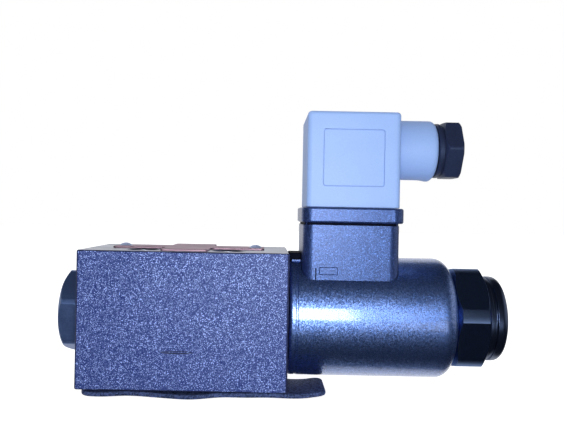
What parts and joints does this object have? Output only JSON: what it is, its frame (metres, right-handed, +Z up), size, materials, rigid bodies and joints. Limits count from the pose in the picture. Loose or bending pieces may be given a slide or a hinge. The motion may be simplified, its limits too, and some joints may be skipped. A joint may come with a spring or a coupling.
{
  "type": "solenoid directional valve",
  "caption": "Spring-return spool valve for a small port face: cast body, end plug, zinc-plated solenoid coil with nut and override, square cable plug and a transport cover.",
  "frame": {"origin": "centre of the mounting screw pattern, on the port face", "axes": "+X along the spool towards the coil, +Z up away from the port face, -Y is the side that the picture shows"},
  "size_m": [0.1375, 0.04, 0.0853],
  "materials": {
    "casting": "dark phosphated casting, fine sparkle",
    "plated_plug": "satin plated steel",
    "zinc_shell": "bright zinc-plated steel",
    "machined_steel": "turned steel",
    "spring_steel": "bright steel",
    "plate_metal": "thin satin plate",
    "black_moulding": "glass-filled moulding, satin",
    "black_nut": "satin black moulding",
    "black_cap": "black rubber-like moulding",
    "cover_plastic": "thin black plastic sheet",
    "grey_moulding": "pale blue-grey moulding",
    "seal_rubber": "black nitrile rubber",
    "copper_wire": "enamelled copper winding",
    "contact_metal": "tinned brass blades"
  },
  "bodies": {
    "valve": {"valve_body": "casting", "end_plug": "plated_plug", "end_plug_seal": "seal_rubber", "return_spring": "spring_steel", "port_seals": "seal_rubber", "core_tube": "machined_steel", "tube_seal": "seal_rubber", "pole_piece": "machined_steel", "coil_shell": "zinc_shell", "flux_washer": "machined_steel", "coil_bobbin": "black_moulding", "coil_winding": "copper_wire", "coil_seals": "seal_rubber", "coil_nut": "black_nut", "end_cap": "black_cap", "terminal_housing": "black_moulding", "contact_blades": "contact_metal", "connector_gasket": "seal_rubber", "nameplate": "plate_metal", "nameplate_rivets": "spring_steel"},
    "spool": {"spool": "machined_steel", "spring_seat": "machined_steel", "push_pin": "machined_steel", "armature": "machined_steel"},
    "override": {"override_button": "black_cap"},
    "cover": {"transport_cover": "cover_plastic"},
    "plug": {"connector_housing": "grey_moulding", "contact_carrier": "black_moulding", "terminal_screws": "spring_steel", "connector_screw": "spring_steel", "gland_nut": "black_nut", "gland_washer": "spring_steel", "gland_seal": "seal_rubber"}
  },
  "joints": [
    {"name": "spool_slide", "type": "slide", "parent": "valve", "child": "spool", "axis": [-1, 0, 0], "range_m": [0, 0.003], "stiffness_N_per_m": 3000, "deforming": ["return_spring"]},
    {"name": "override_push", "type": "slide", "parent": "valve", "child": "override", "axis": [-1, 0, 0], "range_m": [0, 0.003]},
    {"name": "cover_slide", "type": "slide", "parent": "valve", "child": "cover", "axis": [0, 0, -1], "range_m": [0, 0.04]},
    {"name": "plug_slide", "type": "slide", "parent": "valve", "child": "plug", "axis": [0, 0, 1], "range_m": [0, 0.03]}
  ],
  "couplings": [
    {"joint": "override_push", "follows": "spool_slide", "ratio": 1}
  ]
}
